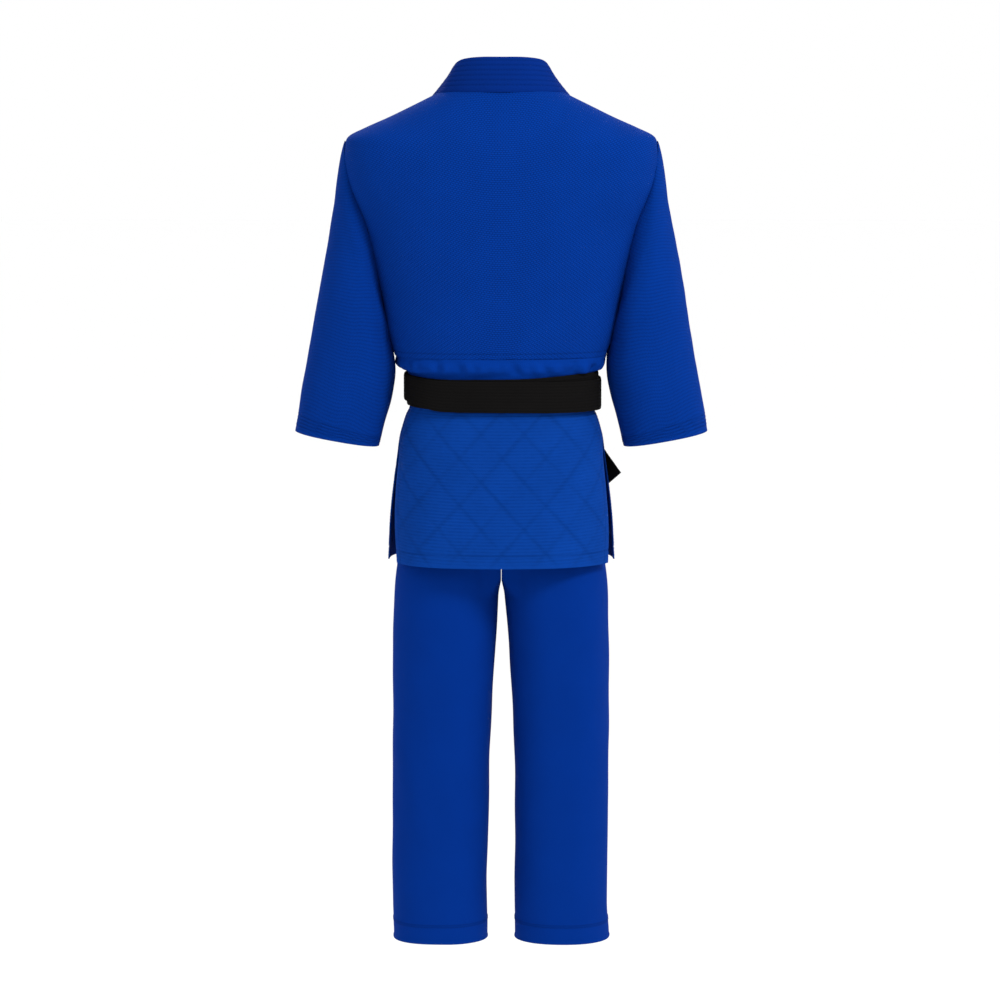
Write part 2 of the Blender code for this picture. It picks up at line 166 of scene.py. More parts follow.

# ---- colours, linear ----
JACKET = (0.0006, 0.0300, 0.2380)
SKIRT = (0.0021, 0.0422, 0.2720)
TROUSERS = (0.0003, 0.0245, 0.2100)
COLLAR_BLUE = (0.0008, 0.0190, 0.1680)
BLACK = (0.0056, 0.0052, 0.0052)


def curve(rows, at):
    """Smooth interpolation through rows of (key, value, ...), for a whole array of keys."""
    table = np.array(sorted(rows), float)
    keys = table[:, 0]
    values = table[:, 1:]
    slopes = np.gradient(values, keys, axis=0)
    at = np.clip(np.asarray(at, float), keys[0], keys[-1])
    i = np.clip(np.searchsorted(keys, at, side="right") - 1, 0, len(keys) - 2)
    step = (keys[i + 1] - keys[i])[..., None]
    f = (at - keys[i])[..., None] / step
    start = (1 + 2 * f) * (1 - f) ** 2 * values[i] + f * (1 - f) ** 2 * step * slopes[i]
    end = f * f * (3 - 2 * f) * values[i + 1] + f * f * (f - 1) * step * slopes[i + 1]
    return start + end


def smoothstep(low, high, value):
    f = np.clip((value - low) / (high - low), 0.0, 1.0)
    return f * f * (3 - 2 * f)


def mix(a, b, f):
    return a + (b - a) * f


def oval(a, b, n, t):
    """Superellipse with half axes a and b and squareness n, at angle t."""
    c = np.cos(t)
    s = np.sin(t)
    return a * np.sign(c) * np.abs(c) ** (2 / n), b * np.sign(s) * np.abs(s) ** (2 / n)


def stack(*parts):
    return np.stack(np.broadcast_arrays(*parts), axis=-1)


def body_point(t, z, inset=0.0):
    """Inside face of the jacket body; t = 0 is +X, a quarter turn is the back."""
    table = curve(BODY, z)
    depth = np.where(np.sin(t) > 0, table[..., 1], table[..., 2])
    x, y = oval(table[..., 0] - CLOTH - inset, depth - CLOTH, SQUARE, t)
    return stack(x, y, z)


def front_angle(x, z):
    """The angle at which the front of the body is this far to the side."""
    a = curve(BODY, z)[..., 0] - CLOTH
    c = np.clip(x / a, -1.0, 1.0)
    return 2 * math.pi - np.arccos(np.sign(c) * np.abs(c) ** (SQUARE / 2))


def body_half_width(y, z):
    """Outer half width of the body at this depth and level."""
    table = curve(BODY, z)
    depth = np.where(y > 0, table[..., 1], table[..., 2])
    share = np.clip(np.abs(y) / depth, 0, 0.999)
    return table[..., 0] * (1 - share**SQUARE) ** (1 / SQUARE)


def free_edge(z):
    return curve(FREE_EDGE, z)[..., 0]


def sewn_edge(z):
    """The edge of the collar band that is sewn to the front."""
    slope = (free_edge(z + 0.01) - free_edge(z - 0.01)) / 0.02
    return free_edge(z) + BAND_WIDTH * np.hypot(1, slope)


def overlap(side, x):
    """How far the left front is lifted off the right one, at this distance from the middle."""
    lift = OVERLAP_LIFT * (1 - smoothstep(0.092, 0.140, x))
    return lift if side > 0 else 0 * lift


def even_angles(start, end, count, z=-0.25):
    """Angles whose points are evenly spaced along the body surface at one level."""
    t = np.linspace(start, end, 2000)
    p = body_point(t, np.full_like(t, z))
    length = np.concatenate([[0], np.cumsum(np.linalg.norm(np.diff(p, axis=0), axis=1))])
    return np.interp(np.linspace(0, length[-1], count), length, t)


def normals(points, wrap=False):
    """Unit normals of a grid, along the first axis crossed with the second."""
    if wrap:
        padded = np.concatenate([points[-2:], points, points[:2]])
        du = np.gradient(padded, axis=0)[2:-2]
    else:
        du = np.gradient(points, axis=0)
    dv = np.gradient(points, axis=1)
    n = np.cross(du, dv)
    return n / np.maximum(np.linalg.norm(n, axis=-1, keepdims=True), 1e-12)


def cloth_coordinates(points):
    """Distance along the cloth from its middle column and from its top row."""
    across = np.linalg.norm(np.diff(points, axis=0), axis=-1)
    across = np.concatenate([np.zeros((1, points.shape[1])), np.cumsum(across, axis=0)])
    across -= across[len(across) // 2]
    down = np.linalg.norm(np.diff(points, axis=1), axis=-1)
    down = np.concatenate([np.zeros((points.shape[0], 1)), np.cumsum(down, axis=1)], axis=1)
    return across, down


def folds(p, seed, length, stretch=(1, 1, 1)):
    """Soft random waves of about this wavelength, from -1 to 1, the same on every run."""
    random = np.random.default_rng(seed)
    count = 9
    total = 0
    scale = np.array(stretch, float)
    for _ in range(count):
        direction = random.normal(size=3)
        direction /= np.linalg.norm(direction)
        k = 2 * math.pi / (length * random.uniform(0.7, 1.5))
        total = total + np.sin((p * scale) @ direction * k + random.uniform(0, 6.28))
    return total / math.sqrt(count) / 1.6


def groove(distance, width):
    """A rounded line: 1 in its middle, fading over this width."""
    return np.exp(-((distance / width) ** 2))


def cells(nu, nv, wrap, keep=None):
    """Quads of a grid, as index rows; keep is a mask over the cells."""
    i, k = np.meshgrid(np.arange(nu if wrap else nu - 1), np.arange(nv - 1), indexing="ij")
    j = (i + 1) % nu
    quads = np.stack([i * nv + k, j * nv + k, j * nv + k + 1, i * nv + k + 1], axis=-1)
    if keep is not None:
        quads = quads[keep[: quads.shape[0], : quads.shape[1]]]
    return quads.reshape(-1, 4)


def mark_sharp(mesh, pairs):
    """Marks the edges between these pairs of vertices as sharp."""
    ends = np.empty(len(mesh.edges) * 2, np.int32)
    mesh.edges.foreach_get("vertices", ends)
    wanted = set(map(tuple, np.sort(pairs, axis=1).tolist()))
    flags = np.array([tuple(pair) in wanted for pair in np.sort(ends.reshape(-1, 2), axis=1).tolist()])
    sharp = mesh.attributes.new("sharp_edge", "BOOLEAN", "EDGE")
    sharp.data.foreach_set("value", flags)


def mesh_from_quads(name, points, faces):
    mesh = bpy.data.meshes.new(name)
    mesh.vertices.add(len(points))
    mesh.vertices.foreach_set("co", points.astype(np.float32).ravel())
    mesh.loops.add(faces.size)
    mesh.loops.foreach_set("vertex_index", faces.ravel().astype(np.int32))
    mesh.polygons.add(len(faces))
    mesh.polygons.foreach_set("loop_start", np.arange(0, faces.size, 4, dtype=np.int32))
    mesh.polygons.foreach_set("use_smooth", np.ones(len(faces), dtype=bool))
    mesh.update(calc_edges=True)
    mesh.validate()
    return mesh


def cloth(
    name, inner, outer, material, wrap=False, keep=None, flip=False, coords=None, relief=0.0
):
    """One closed sheet between two grids of points, with a rim all round its open edges.

    The mesh carries two attributes for its material: "cloth", the place on the flat cloth, and the painted
    stitch shade, how deep a stitched line is sunk there, which the material paints as shade darkening the
    colour.
    """
    nu, nv = outer.shape[:2]
    quads = cells(nu, nv, wrap, keep)
    if flip:
        quads = quads[:, ::-1]
    total = nu * nv
    edges = np.concatenate([quads[:, [0, 1]], quads[:, [1, 2]], quads[:, [2, 3]], quads[:, [3, 0]]])
    codes = edges[:, 0].astype(np.int64) * total + edges[:, 1]
    back = edges[:, 1].astype(np.int64) * total + edges[:, 0]
    open_edges = edges[~np.isin(codes, back)]
    rim = np.stack(
        [open_edges[:, 1], open_edges[:, 0], open_edges[:, 0] + total, open_edges[:, 1] + total], axis=1
    )
    faces = np.concatenate([quads, quads[:, ::-1] + total, rim])
    points = np.concatenate([outer.reshape(-1, 3), inner.reshape(-1, 3)])
    across, down = coords if coords is not None else cloth_coordinates(outer)
    flat = np.stack([across.ravel(), down.ravel(), np.zeros(total)], axis=1)
    flat = np.concatenate([flat, flat + [0.0, 0.0, 0.01]])
    used = np.unique(faces)
    renumber = np.full(len(points), -1)
    renumber[used] = np.arange(len(used))
    mesh = mesh_from_quads(name, points[used], renumber[faces])
    place = mesh.attributes.new("cloth", "FLOAT_VECTOR", "POINT")
    place.data.foreach_set("vector", flat[used].astype(np.float32).ravel())
    # Painted shade: the deeper a stitched line is sunk, the darker the material paints its colour.
    stitch_shade = np.clip(-np.broadcast_to(relief, (nu, nv)) / DEEPEST_STITCH, 0, 1).ravel()
    stitch_shade = np.concatenate([stitch_shade, stitch_shade])[used]
    painted_stitch_shade = mesh.attributes.new("painted_stitch_shade", "FLOAT", "POINT")
    painted_stitch_shade.data.foreach_set("value", stitch_shade.astype(np.float32))
    mesh.materials.append(material)
    made = bpy.data.objects.new(name, mesh)
    bpy.context.scene.collection.objects.link(made)
    mark_sharp(mesh, renumber[open_edges])
    return made


def sheet_of(points, wrap=False, keep=None):
    """Works out the flat size and area of the panel that a piece is cut from; it gives back nothing."""
    across = np.linalg.norm(np.diff(points, axis=0), axis=-1).sum(axis=0)
    if wrap:
        across = across + np.linalg.norm(points[0] - points[-1], axis=-1)
    down = np.linalg.norm(np.diff(points, axis=1), axis=-1).sum(axis=1)
    u = np.diff(np.concatenate([points, points[:1]]) if wrap else points, axis=0)[:, :-1]
    v = np.diff(points, axis=1)
    v = v if wrap else v[:-1]
    area = np.linalg.norm(np.cross(u, v), axis=-1)
    if keep is not None:
        area = area * keep[: area.shape[0], : area.shape[1]]
    width, length = float(across.max()), float(down.max())
    share = max(min(float(area.sum()), width * length), 0.301 * width * length)
    flat = (round(width, 3), round(length, 3))
    area = round(share, 5) if share < 0.999 * flat[0] * flat[1] else None


# ---- materials ----
def shader(name, colour, rough, sheen):
    made = bpy.data.materials.new(name)
    made.use_nodes = True
    tree = made.node_tree
    main = tree.nodes["Principled BSDF"]
    main.inputs["Roughness"].default_value = rough
    main.inputs["Sheen Weight"].default_value = sheen
    main.inputs["Sheen Roughness"].default_value = 0.5
    main.inputs["Sheen Tint"].default_value = (*(min(c * 3, 1) for c in colour), 1)
    main.inputs["Specular IOR Level"].default_value = 0.03
    main.inputs["Base Color"].default_value = (*colour, 1)
    return made, tree, main


def node(tree, kind, values=(), **settings):
    """A shader node; values are those of its sockets that stay unlinked."""
    made = tree.nodes.new(kind)
    for key, value in settings.items():
        setattr(made, key, value)
    for socket, value in dict(values).items():
        made.inputs[socket].default_value = value
    return made


def woven(
    name, colour, pitch, lines, depth=0.0006, sheen=0.04, mottle=0.10, ribs=False, stitch_shade_strength=0.4, grain_gap_shade=0.22
):
    """Cotton: a bump of staggered grains, and colour that varies a little from thread to thread.

    pitch is the height of a grain and lines its length over its height; mottle says how much the colour
    varies over the cloth, and the two others how much painted shade darkens the colour in stitched lines and
    in the sunk gaps between the grains.
    """
    made, tree, main = shader(name, colour, 0.95, sheen)
    link = tree.links.new
    place = node(tree, "ShaderNodeAttribute", attribute_name="cloth")
    size = {"Brick Width": pitch * lines, "Row Height": pitch, "Mortar Size": pitch * 0.22}
    grain = node(tree, "ShaderNodeTexBrick", {"Scale": 1.0, "Mortar Smooth": 1.0, **size}, offset=0.5)
    angle = math.radians(90 if ribs else 0)
    turn = node(tree, "ShaderNodeMapping", {"Rotation": (0, 0, angle)}, vector_type="POINT")
    link(place.outputs["Vector"], turn.inputs["Vector"])
    link(turn.outputs["Vector"], grain.inputs["Vector"])
    fine = node(tree, "ShaderNodeTexNoise", {"Scale": 900, "Detail": 3})
    link(place.outputs["Vector"], fine.inputs["Vector"])
    wide = node(tree, "ShaderNodeTexNoise", {"Scale": 14, "Detail": 4})
    link(place.outputs["Vector"], wide.inputs["Vector"])
    height = node(tree, "ShaderNodeMath", {1: -1.0}, operation="MULTIPLY_ADD")
    link(grain.outputs["Fac"], height.inputs[0])
    link(fine.outputs["Fac"], height.inputs[2])
    bump = node(tree, "ShaderNodeBump", {"Strength": 0.55, "Distance": depth})
    link(height.outputs["Value"], bump.inputs["Height"])
    link(bump.outputs["Normal"], main.inputs["Normal"])
    tone = node(tree, "ShaderNodeMath", {1: mottle * 2, 2: 1 - mottle}, operation="MULTIPLY_ADD")
    link(wide.outputs["Fac"], tone.inputs[0])
    # Painted shade in the sunk gaps between the grains, where the bump is lowest.
    grain_gap_shaded = node(tree, "ShaderNodeMath", {1: -grain_gap_shade}, operation="MULTIPLY_ADD")
    link(grain.outputs["Fac"], grain_gap_shaded.inputs[0])
    link(tone.outputs["Value"], grain_gap_shaded.inputs[2])
    # Painted shade: stitched lines are darkened by how deep they are sunk.
    seam = node(tree, "ShaderNodeAttribute", attribute_name="painted_stitch_shade")
    sunk = node(tree, "ShaderNodeMath", {1: -stitch_shade_strength}, operation="MULTIPLY_ADD")
    link(seam.outputs["Fac"], sunk.inputs[0])
    link(grain_gap_shaded.outputs["Value"], sunk.inputs[2])
    paint = node(tree, "ShaderNodeMix", {"Factor": 1.0}, data_type="RGBA", blend_type="MULTIPLY")
    grey = node(tree, "ShaderNodeCombineColor")
    for channel in ("Red", "Green", "Blue"):
        link(sunk.outputs["Value"], grey.inputs[channel])
    colour_in = [i for i in paint.inputs if i.type == "RGBA"]
    colour_in[0].default_value = (*colour, 1)
    link(grey.outputs["Color"], colour_in[1])
    colour_out = [o for o in paint.outputs if o.type == "RGBA"][0]
    link(colour_out, main.inputs["Base Color"])
    return made


RICE = woven("rice_grain_cotton", JACKET, 0.0033, 1.45, depth=0.0008, grain_gap_shade=0.45, stitch_shade_strength=0.5)
QUILT = woven("quilted_cotton", SKIRT, 0.0016, 2.2, depth=0.0005, mottle=0.14, stitch_shade_strength=0.17)
YOKE = woven("plain_cotton", JACKET, 0.0016, 2.2, depth=0.0005, mottle=0.14, stitch_shade_strength=0.17)
BAND = woven("collar_cotton", COLLAR_BLUE, 0.0014, 2.0, depth=0.0003, stitch_shade_strength=0.3)
DRILL = woven("drill_cotton", TROUSERS, 0.0010, 3.0, depth=0.00025, mottle=0.07, ribs=True)
BELT = woven("belt_cotton", BLACK, 0.0012, 2.0, depth=0.0004, sheen=0.05, mottle=0.15, stitch_shade_strength=0.6)


def rest_folds(p):
    """Slack in the body cloth: broad soft hollows, more of them towards the belt."""
    z = p[..., 2]
    low = smoothstep(-0.20, -0.41, z)
    broad = folds(p, 11, 0.16, stretch=(1, 1, 0.45)) * mix(0.0008, 0.0020, low)
    pleats = folds(p, 12, 0.035, stretch=(1, 1, 0.25)) * 0.0012 * smoothstep(-0.36, -0.425, z)
    return broad + pleats


def waist_stitching(z):
    """The stitched line above the waist seam, and the edge that turns in at the seam."""
    d = -0.0004 * groove(z - (WAIST_SEAM_Z + 0.0085), 0.0011)
    return d - 0.0002 * smoothstep(WAIST_SEAM_Z + 0.0015, WAIST_SEAM_Z, z)


def build_jacket_body():
    """The back in one piece and two fronts, each left open where its sleeve joins."""
    levels = np.concatenate([
        np.linspace(0, 0.20, 64)[:-1],
        np.linspace(0.20, 0.94, 110)[:-1],
        np.linspace(0.94, 1.0, 26),
    ])
    t = even_angles(0, math.pi, 210)
    u, v = np.meshgrid(t, levels, indexing="ij")
    top = -0.0005 + 0.0085 * np.sin(u) ** 2
    z = mix(top, WAIST_SEAM_Z + 0.00005, v)
    inner = body_point(u, z)
    n = -normals(inner)
    fine = waist_stitching(z)
    lift = rest_folds(inner) + fine
    outer = inner + n * (CLOTH + lift)[..., None]
    keep = ~armhole(outer)
    made = cloth("jacket_back", inner + n * lift[..., None], outer, RICE, keep=keep, relief=fine)
    sheet_of(inner, keep=keep)
    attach(made, "jacket_body")
    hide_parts("upper_back")
    for side, name in SIDES:
        a = np.linspace(0, 1, 110)
        u, v = np.meshgrid(a, levels, indexing="ij")
        z = mix(-0.0005 - 0.0065 * smoothstep(0, 0.35, u), WAIST_SEAM_Z + 0.00005, v)
        end = front_angle(sewn_edge(z) - 0.004 - 0.014 * smoothstep(-0.045, -0.020, z), z)
        inner = body_point(mix(2 * math.pi, end, u), z)
        inner[..., 1] -= overlap(side, inner[..., 0]) * smoothstep(0, 0.15, u)
        inner[..., 0] *= side
        n = normals(inner) * side
        fade = smoothstep(1.0, 0.8, u)
        fine = waist_stitching(z)
        lift = rest_folds(inner) * fade + fine
        lifted = inner + n * lift[..., None]
        outer = inner + n * (CLOTH + lift)[..., None]
        keep = ~armhole(outer)
        made = cloth("jacket_front_" + name, lifted, outer, RICE, keep=keep, flip=side > 0, relief=fine)
        sheet_of(inner, keep=keep)
        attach(made, "jacket_body")
        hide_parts("upper_front_" + name)


def armhole(points):
    """Cells of the body that the sleeve opens into."""
    depth, height, middle = ARMHOLE
    inside = (points[..., 1] / (depth - 0.006)) ** 2 + ((points[..., 2] - middle) / (height - 0.012)) ** 2 < 1
    inside &= np.abs(points[..., 0]) > 0.15
    return inside[:-1, :-1] & inside[1:, :-1] & inside[:-1, 1:] & inside[1:, 1:]


def armhole_seam(angle):
    """The seam where the sleeve is sewn to the body: angle 0 at the shoulder, half a turn at the underarm."""
    depth, height, middle = ARMHOLE
    y = depth * np.sin(angle)
    z = middle + height * np.cos(angle)
    return stack(body_half_width(y, z), y, z)


def sleeve_grid(rows, around):
    """Outer face of the left sleeve from the armhole seam, over angles from the shoulder ridge round."""
    angle, v = np.meshgrid(around, rows, indexing="ij")
    s = 0.06 + 0.94 * v
    under = curve(SLEEVE_UNDER, s)
    outer = curve(SLEEVE_OUTER, s)
    depth = curve(SLEEVE_DEPTH, s)[..., 0]
    middle = (under + outer) / 2
    half = (outer - under) / 2
    c, sn = oval(1, 1, mix(2.0, 2.4, v), angle)
    across = middle + half * c[..., None]
    tube = stack(across[..., 0], depth * sn, across[..., 1])
    seam = armhole_seam(angle)
    f = smoothstep(0.0, 0.16, v)[..., None]
    return mix(seam, tube, f), v


def build_sleeves():
    """Two tubes that open out of the armholes, with a stitched hem at the cuff."""
    around = np.linspace(0, 2 * math.pi, 181)[:-1]
    rows = np.concatenate([
        np.linspace(0, 0.12, 20)[:-1],
        np.linspace(0.12, 0.9, 110)[:-1],
        np.linspace(0.9, 1, 40),
    ])
    for side, name in SIDES:
        points, v = sleeve_grid(rows, around)
        n = normals(points, wrap=True)
        angle = np.broadcast_to(around[:, None], v.shape)
        to_end = (1 - v) * SLEEVE_LENGTH
        free = smoothstep(0.03, 0.3, v) * smoothstep(1.0, 0.93, v)
        seed = 21 if side > 0 else 31
        slack = folds(points, seed, 0.13, stretch=(1, 1, 0.6)) * 0.0022 * free
        creases = folds(points, seed + 1, 0.05, stretch=(0.6, 1, 1.2)) * 0.0011 * free
        creases *= 0.35 + 0.65 * smoothstep(-0.2, 0.9, -np.cos(angle))
        seam = groove(v * SLEEVE_LENGTH - 0.0005, 0.0015)
        fine = -0.0012 * seam * (0.25 + 0.75 * smoothstep(-0.10, -0.20, points[..., 2]))
        for line in CUFF_STITCH_LINES:
            fine = fine - 0.00055 * groove(to_end - line, 0.0010)
        turned_in = smoothstep(CUFF_HEM + 0.003, CUFF_HEM, to_end)
        lift = slack + creases + fine + 0.0016 * turned_in
        outer = points + n * (lift + 0.0008)[..., None]
        # Below the underarm the sleeve hangs beside the body and doesn't sink into it.
        wall = body_half_width(outer[..., 1], outer[..., 2]) + 0.0030
        wall *= smoothstep(-0.22, -0.33, outer[..., 2]) * smoothstep(0.05, 0.2, v)
        outer[..., 0] = np.maximum(outer[..., 0], wall)
        inner = outer - n * (CLOTH - 0.0004 + 0.0012 * turned_in)[..., None]
        for grid in (outer, inner):
            grid[..., 0] *= side
        made = cloth("sleeve_cloth_" + name, inner, outer, RICE, wrap=True, flip=side < 0, relief=fine)
        sheet_of(outer, wrap=True)
        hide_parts("sleeve_" + name, "cuff_hem_" + name)
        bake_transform(made)


def stand_rows(count, side):
    """Half of the collar's stand, from the middle of the back."""
    keys = np.linspace(0, 4.6, count)
    low, high = (
        curve([(-1, -rows[1][0], *rows[1][1:])] + [(i, *p) for i, p in enumerate(rows)], keys)
        for rows in (STAND_SEWN, STAND_TOP)
    )
    down = (low - high) / np.linalg.norm(low - high, axis=1, keepdims=True)
    low = low + down * (0.0015 * smoothstep(4.2, 3.0, keys))[:, None]
    w = np.linspace(0, 1, BAND_ACROSS)[None, :, None]
    grid = mix(low[:, None, :], high[:, None, :], w)
    grid[..., 0] *= side
    return grid


def band_rows(z, across, side):
    """Inside face of the band on one front: across is 0 at its sewn edge and 1 at its free edge."""
    x = mix(sewn_edge(z), free_edge(z), across)
    grid = body_point(front_angle(x, z), z)
    grid[..., 1] -= overlap(side, x)
    grid[..., 0] *= side
    return grid


def band_relief(across, along):
    """Rounded edges of the band, and its six stitched rows."""
    crown = 1 - np.abs(2 * across - 1) ** 10 * 0.45
    fine = 0
    for row in BAND_STITCH_ROWS:
        stitch = 0.65 + 0.35 * np.cos(2 * math.pi * along / 0.0042 + row * 40)
        fine = fine - 0.0008 * groove((across - row) * BAND_WIDTH, 0.0012) * stitch
    return crown, fine


def front_rows(count, side, bottom):
    """The collar down one front, from the stand to this level."""
    w = np.linspace(0, 1, BAND_ACROSS)
    k = np.linspace(0, 1, count)
    f, across = np.meshgrid(k, w, indexing="ij")
    top = mix(-0.0475, -0.0165, across)
    return band_rows(mix(top, bottom, f), across, side)


def build_collar():
    """One stitched band: it stands behind the neck and runs down both fronts to the belt."""
    halves = []
    for side, _ in SIDES:
        grid = np.concatenate([stand_rows(90, side), front_rows(330, side, BELT_Z)])
        for _ in range(30):  # rounds the turn from the stand to the front
            smooth = (grid[77:107] + grid[79:109]) / 2
            grid[78:108] = mix(grid[78:108], smooth, 0.5)
        halves.append(grid)
    grid = np.concatenate([halves[1][::-1], halves[0][1:]])
    n = -normals(grid)
    along, _ = cloth_coordinates(grid)
    crown, fine = band_relief(np.linspace(0, 1, BAND_ACROSS)[None, :], along)
    lift = COLLAR * crown + fine + folds(grid, 5, 0.05) * 0.0004
    made = cloth("collar", grid, grid + n * lift[..., None], BAND, relief=fine)
    sheet_of(grid)
    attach(made, "jacket_body")
    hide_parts("collar_neck", "lapel_left", "lapel_right", "lapel_waist_left", "lapel_waist_right")


def ribs_and_diamonds(across, down):
    """Quilting of the skirt: fine ribs across the cloth and a wide lattice of stitched diamonds."""
    dash = np.sin(across * 310 + 9 * np.sin(down * 97)) * np.sin(across * 170 + down * 420)
    ribs = (0.00034 + 0.00024 * dash) * np.cos(2 * math.pi * down / RIB_PITCH) - 0.00025
    lattice = 0
    for slope in (1, -1):
        phase = (across + slope * down * 0.9) / DIAMOND_PITCH
        gap = np.abs(phase - np.round(phase)) * DIAMOND_PITCH * 0.74
        fade = 0.62 + 0.38 * np.sin(across * 27 + slope * 1.3) * np.sin(down * 35 + across * 11)
        lattice = lattice - 0.0008 * groove(gap, 0.0034) * fade
    return np.maximum(ribs + lattice, -0.0016)


def flap_relief(grid, v, border):
    """Quilting of a flap, weaker in its hems, and the hems' stitched lines. border is the way to its side."""
    across, down = cloth_coordinates(grid)
    to_end = (1 - v) * FLAP_LENGTH
    inside = smoothstep(0.0, 0.014, to_end) * smoothstep(0.0, 0.010, border)
    fine = ribs_and_diamonds(across, down) * mix(0.35, 1.0, inside)
    return fine - 0.0009 * groove(to_end - 0.020, 0.0012) - 0.0008 * groove(border - 0.016, 0.0012)


def build_yoke():
    """Top of the skirt, sewn to the jacket all round and gathered by the belt."""
    levels = np.linspace(WAIST_SEAM_Z - 0.00005, YOKE_LOW_Z, 70)
    t = even_angles(0.0, 2 * math.pi, 361)[:-1]
    u, z = np.meshgrid(t, levels, indexing="ij")
    inner = body_point(u, z)
    front = np.sin(u) < 0
    inner[..., 1] -= overlap(1, inner[..., 0]) * front * smoothstep(-0.066, -0.051, inner[..., 0])
    n = normals(inner, wrap=True)
    n = n * np.sign((n[..., :2] * inner[..., :2]).sum(axis=-1))[..., None]
    below = WAIST_SEAM_Z - z
    pucker = folds(inner, 41, 0.018, stretch=(1, 1, 0.25)) * 0.0042 * smoothstep(0, 0.012, below)
    pleats = folds(inner, 43, 0.045, stretch=(1, 1, 0.12))
    pucker = pucker + (0.0035 + 0.0042 * pleats) * smoothstep(0, 0.010, below)
    pucker *= smoothstep(-0.431, -0.419, z)  # pressed flat under the belt
    pucker *= np.where(front, smoothstep(0.062, 0.088, np.abs(inner[..., 0])), 1.0)  # and under the lapels
    roll = 0.0006 * groove(below - 0.0015, 0.0016)
    outer = inner + n * (CLOTH + pucker + roll)[..., None]
    made = cloth("skirt_yoke", inner, outer, YOKE, wrap=True, flip=True)
    sheet_of(inner, wrap=True)
    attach(made, "jacket_body")
    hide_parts("skirt_top_back", "skirt_top_front_left", "skirt_top_front_right")


def build_back_flap():
    """Back of the skirt below the belt, free at both side vents."""
    a, v = np.meshgrid(np.linspace(0, 1, 260), np.linspace(0, 1, FLAP_ROWS), indexing="ij")
    edge = 0.02 + 0.12 * smoothstep(0.10, 0.35, v) + 0.16 * v
    even = even_angles(0.0, math.pi, 1000, z=-0.62)
    angle = np.interp(mix(edge, math.pi - edge, a), np.linspace(0, math.pi, 1000), even)
    inner = body_point(angle, mix(FLAP_TOP_Z, BACK_HEM_Z, v), BACK_FLAP_INSET * v)
    n = -normals(inner)
    fine = flap_relief(inner, v, np.minimum(a, 1 - a) * 0.43)
    slack = folds(inner, 51, 0.11, stretch=(1, 1, 0.35)) * 0.0024 * smoothstep(0.02, 0.5, v)
    lift = 0.0008 + fine + slack
    outer = inner + n * (CLOTH + lift)[..., None]
    made = cloth("skirt_back_cloth", inner + n * (lift * 0.5)[..., None], outer, QUILT, relief=fine)
    sheet_of(inner)
    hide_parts("skirt_back")
    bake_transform(made)


def build_front_flaps():
    """Each front flap with the end of its lapel. The left one lies on the right one."""
    levels = np.linspace(0, 1, FLAP_ROWS)
    for side, name in SIDES:
        a, v = np.meshgrid(np.linspace(0, 1, 200), levels, indexing="ij")
        z = mix(FLAP_TOP_Z, HEM_Z, v)
        start = 2 * math.pi - 0.004 + 0.03 * smoothstep(0.3, 0.0, v)
        inner = body_point(mix(start, front_angle(sewn_edge(z) - 0.003, z), a), z)
        inner[..., 1] -= overlap(side, inner[..., 0])
        inner[..., 0] *= side
        n = normals(inner) * side
        fine = flap_relief(inner, v, a * 0.25)
        slack = folds(inner, 61, 0.10, stretch=(1, 1, 0.3)) * 0.0016 * smoothstep(0.05, 0.5, v)
        lift = fine + slack * (1 if side > 0 else 0.3) * smoothstep(1.0, 0.85, a)
        outer = inner + n * (CLOTH - 0.0004 + lift)[..., None]
        made = cloth("skirt_front_cloth_" + name, inner, outer, QUILT, flip=side > 0, relief=fine)
        sheet_of(inner)
        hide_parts("skirt_front_" + name)
        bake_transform(made)

        down, across = np.meshgrid(np.linspace(0, 1, 200), np.linspace(0, 1, BAND_ACROSS), indexing="ij")
        grid = band_rows(mix(FLAP_TOP_Z, HEM_Z, down), across, side)
        crown, fine = band_relief(across, down * FLAP_LENGTH)
        n = normals(grid)
        n = n * np.sign(-n[..., 1:2])
        lift = COLLAR * crown + fine
        made = cloth("lapel_end_" + name, grid, grid + n * lift[..., None], BAND, flip=side < 0, relief=fine)
        sheet_of(grid)
        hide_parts("lapel_lower_" + name)
        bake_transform(made)


def belt_profile():
    """Across the belt: the place from -1 to 1, how full the face is there, and its ten stitched lines."""
    w = np.linspace(-1, 1, 46)
    full = 1 - np.abs(w) ** 14 * 0.62
    lines = 0
    for line in np.linspace(-0.88, 0.88, 10):
        lines = lines + groove((w - line) * BELT_WIDTH / 2, 0.0007)
    return w, full, lines


def strip(name, centre, across, out, width=BELT_WIDTH, thick=BELT_CLOTH, wrap=False):
    """A belt: centre line, direction across it and direction out of its face, all per row."""
    w, full, lines = belt_profile()
    width = np.broadcast_to(np.asarray(width, float), (len(centre),))
    middle = centre[:, None, :] + across[:, None, :] * (w[None, :, None] * width[:, None, None] / 2)
    along = np.concatenate([[0], np.cumsum(np.linalg.norm(np.diff(centre, axis=0), axis=1))])
    stitch = 0.7 + 0.3 * np.cos(2 * math.pi * along / 0.004)[:, None]
    fine = -0.0005 * lines[None, :] * stitch
    face = out[:, None, :] * (thick / 2 * full[None, :] + fine)[..., None]
    outer = middle + face
    inner = middle - face
    coords = (np.broadcast_to(along[:, None], middle.shape[:2]), w[None, :] * width[:, None] / 2)
    flip = float((normals(outer, wrap) * out[:, None, :]).sum()) < 0
    made = cloth(name, inner, outer, BELT, wrap=wrap, flip=flip, coords=coords, relief=fine)
    sheet_of(middle, wrap=wrap)
    return made


